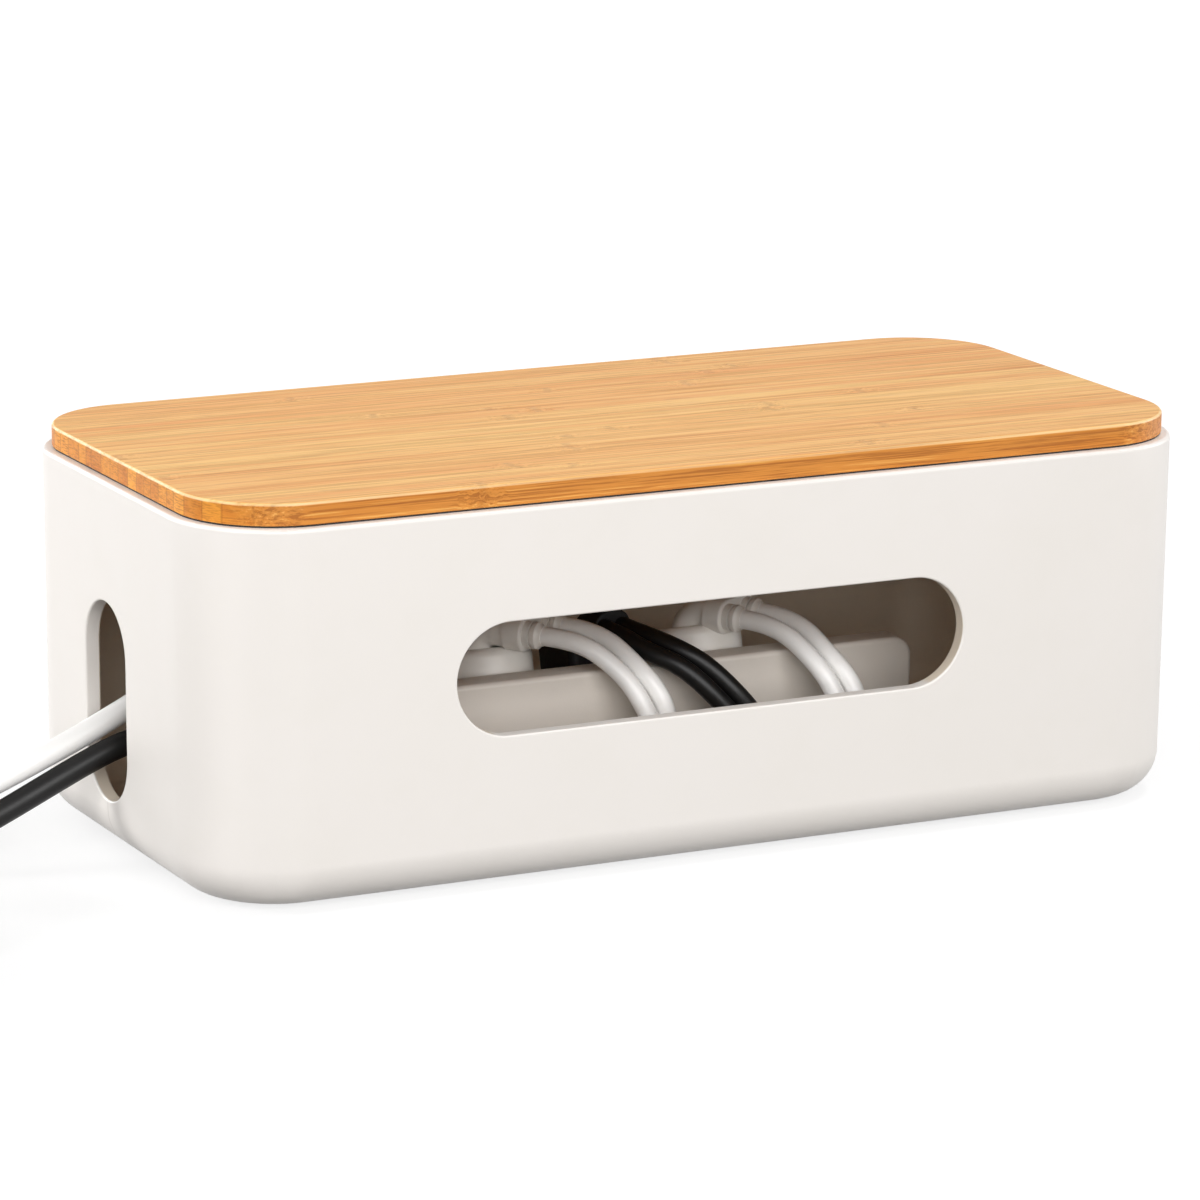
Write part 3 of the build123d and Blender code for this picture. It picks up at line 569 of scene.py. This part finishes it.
# %% Bamboo: knuckles
knuckle_pitch = 0.24
knuckle_wobble = 0.03
line_edge, line_end = 0.002, 0.009
zone_end = 0.045
slow_stretch = (9.0, 190.0, 190.0)
swirl_scale = 260.0
swirl_reach = 0.0045
slow = cloud(tree, vector_maths(tree, "MULTIPLY", shifted, slow_stretch), 1.0, 3.0, 0.6)
round_stalk = maths(tree, "ADD", maths(tree, "DIVIDE", axes["X"], knuckle_pitch), own["Green"])
wobble = maths(tree, "MULTIPLY_ADD", slow, knuckle_wobble, -0.5 - knuckle_wobble / 2)
knuckle = maths(
    tree, "ABSOLUTE", maths(tree, "ADD", maths(tree, "FRACT", round_stalk), wobble)
)
knuckle_line = ramp(tree, knuckle, line_edge, line_end, 1.0, 0.0)
knuckle_zone = ramp(tree, knuckle, 0.0, zone_end, 1.0, 0.0)
swirl = put(
    tree, "ShaderNodeTexNoise", {"Vector": shifted, "Scale": swirl_scale, "Detail": 2.0}
).outputs["Color"]
swirl = vector_maths(tree, "SUBTRACT", swirl, (0.5, 0.5, 0.5))
swirl = put(
    tree, "ShaderNodeVectorMath",
    {0: swirl, "Scale": maths(tree, "MULTIPLY", knuckle_zone, swirl_reach)}, operation="SCALE",
).outputs[0]
bent = vector_maths(tree, "ADD", shifted, swirl)


def along_grain(along, over):
    """The bent position, stretched along the strip."""
    return vector_maths(tree, "MULTIPLY", bent, (along, over, over))


# Cells per metre along the strip, then across it
fibres = cloud(tree, along_grain(15.0, 1050.0), 1.0, 4.0, 0.7)
bands = cloud(tree, along_grain(6.0, 260.0), 1.0, 4.0, 0.62)
dashes = ramp(tree, cloud(tree, along_grain(60.0, 1500.0), 1.0, 1.0), 0.6, 0.72)
wave = cloud(tree, along_grain(3.5, 70.0), 1.0, 2.0)
print("nodes up to the grain:", len(tree.nodes))

# %% Bamboo: long grain
grain_tone, side_tone, side_fibres, top_fibres = 0.4, 0.8, 0.3, 0.34
facing = put(tree, "ShaderNodeSeparateXYZ", {0: given["Normal"]}).outputs
is_end = ramp(tree, maths(tree, "ABSOLUTE", facing["X"]), 0.45, 0.8)
is_side = ramp(tree, maths(tree, "ABSOLUTE", facing["Y"]), 0.45, 0.8)
long_share = maths(tree, "MULTIPLY", own["Red"], grain_tone)
long_share = maths(tree, "ADD", long_share, ramp(tree, bands, 0.42, 0.62, 0.0, 0.5))
long_share = maths(tree, "ADD", long_share, ramp(tree, wave, 0.4, 0.7, 0.0, 0.25), clamp=True)
long_colour = tint(tree, long_share, given["Light"], given["Dark"])
side_share = maths(tree, "MULTIPLY", is_side, side_tone)
long_colour = tint(tree, side_share, long_colour, given["End Dark"])
fibre_share = maths(tree, "MULTIPLY_ADD", is_side, side_fibres, top_fibres)
fibre_share = maths(tree, "MULTIPLY", fibre_share, ramp(tree, fibres, 0.49, 0.6))
long_colour = tint(tree, fibre_share, long_colour, given["Dash"])
long_colour = tint(tree, maths(tree, "MULTIPLY", dashes, 0.3), long_colour, given["Dash"])
pale_share = ramp(tree, fibres, 0.44, 0.34, 0.0, 0.5)
long_colour = tint(tree, pale_share, long_colour, given["Light"])
long_colour = tint(
    tree, maths(tree, "MULTIPLY", knuckle_line, 0.2), long_colour, given["Dash"]
)
seam_line = ramp(tree, seam, 0.01, 0.05, 0.2, 0.0)
long_colour = tint(tree, seam_line, long_colour, given["Dash"])
print("nodes up to the long grain:", len(tree.nodes))

# %% Bamboo: end grain
bundle_stretch = (40.0, 300.0, 2600.0)
end_place = vector_maths(tree, "MULTIPLY", shifted, bundle_stretch)
bundles = cloud(tree, end_place, 1.0, 2.0, 0.6)
end_share = maths(tree, "MULTIPLY", own["Blue"], 0.8)
end_share = maths(tree, "ADD", end_share, ramp(tree, bands, 0.4, 0.66, 0.0, 0.3), clamp=True)
end_colour = tint(tree, end_share, given["End Light"], given["End Dark"])
bundle_share = maths(tree, "MULTIPLY_ADD", own["Red"], 0.25, 0.3)
bundle_share = maths(tree, "MULTIPLY", bundle_share, ramp(tree, bundles, 0.48, 0.6))
end_colour = tint(tree, bundle_share, end_colour, given["Dash"])
end_seam = ramp(tree, seam, 0.01, 0.07, 0.35, 0.0)
end_colour = tint(tree, end_seam, end_colour, given["Dash"])
board_colour = tint(tree, is_end, long_colour, end_colour)
# Painted highlight: the rounded top edge of the board is tinted paler, as if it caught the light.
arris = maths(
    tree, "MULTIPLY", ramp(tree, facing["Z"], 0.12, 0.45),
    ramp(tree, facing["Z"], 0.86, 0.985, 1.0, 0.0),
)
painted_edge_highlight = maths(tree, "MULTIPLY", arris, ramp(tree, slow, 0.3, 0.6, 0.3, 0.75))
tree.links.new(tint(tree, painted_edge_highlight, board_colour, given["Edge Highlight"]), gives["Colour"])
dry = maths(tree, "MULTIPLY_ADD", is_end, 0.14, ramp(tree, fibres, 0.35, 0.75, 0.34, 0.5))
tree.links.new(dry, gives["Roughness"])
relief_height = maths(tree, "SUBTRACT", 1.0, maths(tree, "MAXIMUM", fibres, dashes))
relief_height = maths(tree, "SUBTRACT", relief_height, seam_line)
tree.links.new(relief_height, gives["Height"])
print("bamboo nodes:", len(tree.nodes))

# %% [markdown]
# ## Drawn and plated metal
# Blades, rails and screws are stamped or turned and then plated. Fine lines run along the way
# they were drawn and the plating is duller in patches. An anisotropic shader stretches the
# highlight but draws no lines. So the group stretches its noise by a vector, which gives a blade
# and a rail long lines and a screw an even grain.

# %% Group: drawn metal
drawn_metal, given, gives = open_group(
    "drawn_metal",
    {"Position": "Vector", "Stretch": "Vector", "Bright": "Color", "Dull": "Color",
     "Gloss Floor": "Float"},
    surface_outputs,
)
tree = drawn_metal
cloud_scale = 180.0
lines = cloud(
    tree, vector_maths(tree, "MULTIPLY", given["Position"], given["Stretch"]), 1.0, 3.0, 0.6
)
clouded = ramp(tree, cloud(tree, given["Position"], cloud_scale, 3.0), 0.35, 0.7)
dull_share = maths(tree, "MULTIPLY_ADD", clouded, 0.6, ramp(tree, lines, 0.45, 0.75, 0.0, 0.35))
tree.links.new(tint(tree, dull_share, given["Bright"], given["Dull"]), gives["Colour"])
gloss = maths(tree, "MULTIPLY_ADD", clouded, 0.14, given["Gloss Floor"])
tree.links.new(gloss, gives["Roughness"])
tree.links.new(lines, gives["Height"])
print("drawn metal nodes:", len(tree.nodes))

# %% [markdown]
# ## Flex sheath
# A flex has an extruded PVC coat. It is smooth, but the line speed leaves a faint orange peel and
# the coat picks up soft marks where it was handled and coiled. Without them the tube would look
# like glass. They are too shallow to model, so two noises make them.

# %% Group: flex sheath
flex_sheath, given, gives = open_group(
    "flex_sheath",
    {"Position": "Vector", "Shade": "Color", "Marked": "Color", "Gloss Floor": "Float"},
    surface_outputs,
)
tree = flex_sheath
peel_scale, mark_scale = 620.0, 95.0
peel = cloud(tree, given["Position"], peel_scale, 2.0, 0.45)
marks = ramp(tree, cloud(tree, given["Position"], mark_scale, 4.0, 0.62), 0.46, 0.78)
tree.links.new(tint(tree, marks, given["Shade"], given["Marked"]), gives["Colour"])
gloss = maths(tree, "MULTIPLY_ADD", marks, 0.16, given["Gloss Floor"])
tree.links.new(gloss, gives["Roughness"])
tree.links.new(peel, gives["Height"])
print("sheath nodes:", len(tree.nodes))

# %% [markdown]
# ## Hook tape
# Each coil is held by a turn of hook-and-loop tape. Its outside is a mat of tiny loops, which
# could be made as hairs, at a cost that nobody would see at this size. Round cells a little under
# a millimetre apart do as well, and a finer noise lets some loops stand up; they are painted
# lighter, a painted highlight where they would catch the light.

# %% Group: hook tape
hook_tape, given, gives = open_group(
    "hook_tape",
    {"Position": "Vector", "Shade": "Color", "Loop Highlight": "Color", "Loop Size": "Float"},
    surface_outputs,
)
tree = hook_tape
loose_scale = 2600.0
cells = put(
    tree, "ShaderNodeTexVoronoi",
    {"Vector": given["Position"], "Scale": maths(tree, "DIVIDE", 1.0, given["Loop Size"])},
)
loop_top = ramp(tree, cells.outputs["Distance"], 0.1, 0.6, 1.0, 0.0)
loose_ends = ramp(tree, cloud(tree, given["Position"], loose_scale, 3.0, 0.7), 0.5, 0.72)
raised_loops_and_highlight = maths(tree, "MULTIPLY_ADD", loose_ends, 0.5, maths(tree, "MULTIPLY", loop_top, 0.5))
# Painted highlight: raised loops are tinted lighter, as where they catch the light.
tree.links.new(tint(tree, raised_loops_and_highlight, given["Shade"], given["Loop Highlight"]), gives["Colour"])
tree.links.new(ramp(tree, raised_loops_and_highlight, 0.0, 1.0, 0.95, 0.75), gives["Roughness"])
tree.links.new(raised_loops_and_highlight, gives["Height"])
print("hook tape nodes:", len(tree.nodes))

# %% [markdown]
# ## One material for each finish
# Every material is a Principled shader that takes colour, roughness and a little height from a
# group. Numbers that are the same all over, such as the coat, are set on the shader itself. One
# function makes them all, so no two finishes are joined up in different ways.

# %% A finished material


def finish(name, group, inputs, bump_strength, bump_distance, normal=False, turned=False,
           **constants):
    """A Principled material fed by a group, with the constants set on the shader."""
    material = sheaths.get(name) or bpy.data.materials.new(name)
    material.use_nodes = True
    tree = material.node_tree
    shader = tree.nodes["Principled BSDF"]
    place = put(tree, "ShaderNodeTexCoord").outputs
    position, facing = place["Object"], place["Normal"]
    if turned:
        quarter = (0.0, 0.0, radians(90.0))
        position, facing = (
            put(tree, "ShaderNodeMapping", {"Vector": vector, "Rotation": quarter}).outputs[0]
            for vector in (position, facing)
        )
    facts = dict(inputs, Position=position)
    if normal:
        facts["Normal"] = facing
    made = put(tree, "ShaderNodeGroup", facts, node_tree=group).outputs
    tree.links.new(made["Colour"], shader.inputs["Base Color"])
    tree.links.new(made["Roughness"], shader.inputs["Roughness"])
    bump = put(
        tree, "ShaderNodeBump",
        {"Height": made["Height"], "Strength": bump_strength, "Distance": bump_distance},
    )
    tree.links.new(bump.outputs["Normal"], shader.inputs["Normal"])
    for key, value in constants.items():
        shader.inputs[key.replace("_", " ")].default_value = value
    return material


# %% [markdown]
# ## The moulded finishes
# The tub, the strip, the plugs and the feet are different plastics from the same kind of machine.
# Each could have a pattern of its own, but what differs on the real ones is the pair of shades,
# the size of the grain and the gloss. So they share one group, and a table gives each its values.

# %% Moulded finishes
grain_depth = 0.00004


def moulded(name, shade, deep, grain=0.0006, gloss=0.42, spread=0.14, strength=0.25, **constants):
    """A moulded finish from two display colours."""
    facts = {"Shade": display(*shade), "Deep Shade": display(*deep), "Grain Size": grain,
             "Gloss Floor": gloss, "Gloss Spread": spread}
    return finish(name, moulded_skin, facts, strength, grain_depth, **constants)


materials = {
    "tub_plastic": moulded(
        "warm_white_tub", (242, 237, 232), (240, 235, 229), 0.0005, 0.36, 0.07, 0.1,
    ),
    "strip_plastic": moulded("stone_strip", (224, 216, 207), (216, 208, 198), 0.0006, 0.36),
    "socket_plastic": moulded("ivory_socket", (232, 227, 219), (223, 217, 208), 0.0005, 0.36),
    "plug_plastic": moulded("white_plug", (238, 234, 228), (229, 224, 216), 0.0005, 0.34),
    "collar_plastic": moulded("white_collar", (234, 230, 224), (222, 217, 209), 0.0004, 0.36),
    "white_connector": moulded("white_barrel", (238, 236, 232), (228, 225, 219), 0.0004, 0.34),
    "black_plastic": moulded(
        "black_plug", (20, 19, 19), (14, 13, 13), 0.0005, 0.48, 0.14, Specular_IOR_Level=0.3,
    ),
    "rubber": moulded("soft_rubber", (34, 33, 32), (24, 23, 23), 0.0009, 0.68, 0.16, 0.5),
}
print("moulded finishes:", len(materials))

# %% [markdown]
# ## Inside wall and parting line of the tub
# The tub's inside is painted a warmer, darker colour: painted shade for the dim light, warmed by
# the bamboo lid, inside the closed box. A second material on the inner faces would end in a hard
# line at the rim, so one mask fades from one skin to the other. A wall faces inwards where its
# normal points back to the middle of the box, which a dot product tells apart at every corner.
# Under the slot in the end wall the two halves of the mould met and left one hair-thin line.

# %% Two masks for the tub
inward_start = -0.026
inward_full = -0.036
middle_of_tub = (0.0, 0.0, 0.055)
parting_y = 0.0047
parting_top = 0.028
parting_x = -0.15
parting_edge, parting_end = 0.00015, 0.0005
parting_share = 0.35
tree = materials["tub_plastic"].node_tree
shader = tree.nodes["Principled BSDF"]
place = put(tree, "ShaderNodeTexCoord").outputs
outwards = vector_maths(tree, "SUBTRACT", place["Object"], middle_of_tub)
inward = put(
    tree, "ShaderNodeVectorMath", {0: place["Normal"], 1: outwards}, operation="DOT_PRODUCT"
).outputs["Value"]
painted_inside_shade = ramp(tree, inward, inward_full, inward_start, 1.0, 0.0)
axes = put(tree, "ShaderNodeSeparateXYZ", {0: place["Object"]}).outputs
aside = maths(tree, "ABSOLUTE", maths(tree, "SUBTRACT", axes["Y"], parting_y))
line = ramp(tree, aside, parting_edge, parting_end, 1.0, 0.0)
line = maths(tree, "MULTIPLY", line, maths(tree, "LESS_THAN", axes["Z"], parting_top))
line = maths(tree, "MULTIPLY", line, maths(tree, "LESS_THAN", axes["X"], parting_x))
skin = shader.inputs["Base Color"].links[0].from_socket
# Painted shade: the inner faces are tinted warmer and darker, for the dim light inside the closed
# box.
skin = tint(tree, painted_inside_shade, skin, display(231, 218, 200))
line = maths(tree, "MULTIPLY", line, parting_share)
skin = tint(tree, line, skin, display(190, 182, 172))
tree.links.new(skin, shader.inputs["Base Color"])
print("tub nodes:", len(tree.nodes))

# %% [markdown]
# ## Flexes, tape and metals
# White and black flex differ in more than colour: the black coat is less shiny, or it would look
# wet. The tape has a soft sheen on its loops. Nickel, brass and zinc are full metals that differ
# in tone and in their lines, which run along the blades and along the rails. The groups above do
# all of it, so only numbers are left to choose.

# %% Flex, tape and metal finishes
peel_depth = 0.00005
loop_depth = 0.0002
line_depth = 0.00002
materials["white_flex"] = finish(
    "white_flex", flex_sheath,
    {"Shade": display(252, 251, 249), "Marked": display(246, 244, 241), "Gloss Floor": 0.34},
    0.12, peel_depth, Coat_Weight=0.1, Coat_Roughness=0.25,
)
materials["black_flex"] = finish(
    "black_flex", flex_sheath,
    {"Shade": display(19, 18, 18), "Marked": display(26, 25, 24), "Gloss Floor": 0.38},
    0.12, peel_depth, Specular_IOR_Level=0.3,
)
materials["tie"] = finish(
    "black_hook_tape", hook_tape,
    {"Shade": display(22, 22, 24), "Loop Highlight": display(70, 70, 74), "Loop Size": 0.0008},
    0.7, loop_depth, Sheen_Weight=0.3,
)
materials["blade_metal"] = finish(
    "nickel_plate", drawn_metal,
    {"Stretch": (1500.0, 1500.0, 40.0), "Bright": display(214, 208, 196),
     "Dull": display(176, 170, 160), "Gloss Floor": 0.2},
    0.1, line_depth, Metallic=1.0,
)
materials["brass"] = finish(
    "stamped_brass", drawn_metal,
    {"Stretch": (30.0, 1500.0, 1500.0), "Bright": display(222, 184, 110),
     "Dull": display(176, 136, 74), "Gloss Floor": 0.24},
    0.1, line_depth, Metallic=1.0,
)
materials["screw_steel"] = finish(
    "zinc_screw", drawn_metal,
    {"Stretch": (900.0, 900.0, 900.0), "Bright": display(200, 198, 192),
     "Dull": display(150, 147, 140), "Gloss Floor": 0.26},
    0.15, line_depth, Metallic=1.0,
)
print("finishes:", len(materials))

# %% [markdown]
# ## The bamboo finishes
# The board is varnished, so it has a thin clear coat. The battens below it are planed and bare,
# and are cut from wider strips. The two short ones lie across the box. Turning their meshes would
# move them, so their pattern is turned instead.

# %% Bamboo finishes
# The colour given last is the painted highlight on the board's rounded top edge.
board_colours = {
    "Light": display(255, 201, 112), "Dark": display(240, 158, 64),
    "Dash": display(150, 82, 24), "End Light": display(243, 166, 60),
    "End Dark": display(203, 122, 40), "Edge Highlight": display(255, 226, 168),
}
board_facts = dict(board_colours, **{"Strip Width": 0.0062})
batten_facts = dict(board_colours, **{"Strip Width": 0.019})
materials["bamboo"] = finish(
    "bamboo_board_finish", bamboo_strips, board_facts,
    0.3, 0.0001, normal=True, Coat_Weight=0.08, Coat_Roughness=0.22, Specular_IOR_Level=0.3,
)
materials["bamboo_batten"] = finish(
    "bamboo_batten_finish", bamboo_strips, batten_facts,
    0.35, 0.00012, normal=True,
)
materials["bamboo_cross"] = finish(
    "bamboo_cross_finish", bamboo_strips, batten_facts,
    0.35, 0.00012, normal=True, turned=True,
)
print("finishes with bamboo:", len(materials))

# %% [markdown]
# ## Hand the finishes out
# New pieces take the finish of the slot they stand for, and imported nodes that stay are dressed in
# their own slots, so nothing is left in plain grey. Each piece could be named here with its
# finish, but a loop over all of them forgets none.

# %% Assign
for piece, slot in finishes.items():
    piece.data.materials.clear()
    piece.data.materials.append(materials[slot])
for node, slot in slot_of.items():
    cross = node in ("lid_batten_left", "lid_batten_right")
    for place in nodes[node].material_slots:
        place.material = materials["bamboo_cross" if cross else slot]
print("new pieces dressed:", len(finishes), "and packed nodes:", len(slot_of))

# %% [markdown]
# ## Floor, light and view
# The surroundings are white and plain. Strong light would make them so, but it would also bleach
# the box. For the camera and for reflections the floor glows a little instead, so it reads as
# paper white and still takes the soft shadow of the box. For the light that it throws back up it
# is only pale grey, which leaves the rounded foot of the tub darker.

# %% Floor
scene = bpy.context.scene
scene.view_settings.view_transform = "Standard"

floor_size = 12.0
paper_tone = (0.3, 0.3, 0.3, 1.0)
bounce_tone = (0.21, 0.205, 0.2, 1.0)
glow_near, glow_far = 0.76, 1.0
near_end, far_start = 0.35, 1.3


def backdrop_rays(tree):
    """1 for a ray of the camera, of a reflection or of transmission."""
    path = put(tree, "ShaderNodeLightPath").outputs
    seen = maths(tree, "MAXIMUM", path["Is Camera Ray"], path["Is Glossy Ray"])
    return maths(tree, "MAXIMUM", seen, path["Is Transmission Ray"])


bpy.ops.mesh.primitive_plane_add(size=floor_size, location=(0, 0, 0))
floor = bpy.context.object
floor.name = "floor"
floor_material = bpy.data.materials.new("white_floor")
floor_material.use_nodes = True
tree = floor_material.node_tree
tree.nodes.clear()
paper = put(tree, "ShaderNodeBsdfDiffuse", {"Color": paper_tone})
dim_paper = put(tree, "ShaderNodeBsdfDiffuse", {"Color": bounce_tone})
away = put(
    tree, "ShaderNodeVectorMath", {0: put(tree, "ShaderNodeTexCoord").outputs["Object"]},
    operation="LENGTH",
).outputs["Value"]
strength = ramp(tree, away, near_end, far_start, glow_near, glow_far)
glow = put(tree, "ShaderNodeEmission", {"Strength": strength})
both = put(tree, "ShaderNodeAddShader", {0: paper.outputs[0], 1: glow.outputs[0]})
choose = put(
    tree, "ShaderNodeMixShader",
    {0: backdrop_rays(tree), 1: dim_paper.outputs[0], 2: both.outputs[0]},
)
put(tree, "ShaderNodeOutputMaterial", {"Surface": choose.outputs[0]})
floor.data.materials.append(floor_material)
print("floor", floor_size, "m wide")

# %% World
room_level = 0.12
world = bpy.data.worlds.new("studio")
scene.world = world
world.use_nodes = True
tree = world.node_tree
tree.nodes.clear()
room = put(tree, "ShaderNodeBackground", {"Strength": room_level})
white = put(tree, "ShaderNodeBackground", {"Strength": 1.0})
choose = put(
    tree, "ShaderNodeMixShader",
    {0: backdrop_rays(tree), 1: room.outputs[0], 2: white.outputs[0]},
)
put(tree, "ShaderNodeOutputWorld", {"Surface": choose.outputs[0]})
print("room light", room_level)

# %% [markdown]
# ## Lamps
# Product pictures are lit by softboxes: large, even lamps whose soft edges show in glossy
# plastic. An image of a studio round the scene would do the same, but area lamps can be placed
# one by one. Two on the left light the end wall and its round corner. The widest stands low in
# front and reaches through the window to the strip and the leads. A small one above keeps the lid
# bright, and the two behind and on the right are for whoever walks round the box. Together they
# give a plain level, at which a colour looks about as it is written.

# %% Softboxes
# Place, width and height in metres, power in watts
softboxes = {
    "left_light": ((-2.05, 0.95, 0.82), 0.8, 0.8, 25.0),
    "corner_light": ((-2.04, -0.95, 0.82), 0.5, 0.5, 12.0),
    "front_light": ((-0.3, -2.05, 0.94), 2.2, 1.3, 42.5),
    "top_light": ((0.5, -0.4, 1.95), 0.4, 0.4, 9.0),
    "back_light": ((-0.79, 2.18, 0.62), 1.2, 1.0, 26.0),
    "right_light": ((2.34, -0.2, 0.5), 1.0, 0.8, 20.0),
}
for name, (position, width, height, power) in softboxes.items():
    lamp = bpy.data.lights.new(name, "AREA")
    lamp.shape = "RECTANGLE"
    lamp.size = width
    lamp.size_y = height
    lamp.energy = power
    holder = bpy.data.objects.new(name, lamp)
    aim = (Vector(position) - camera_target).to_track_quat("Z", "Y")
    holder.matrix_world = Matrix.Translation(Vector(position)) @ aim.to_matrix().to_4x4()
    scene.collection.objects.link(holder)
print("softboxes:", len(softboxes))
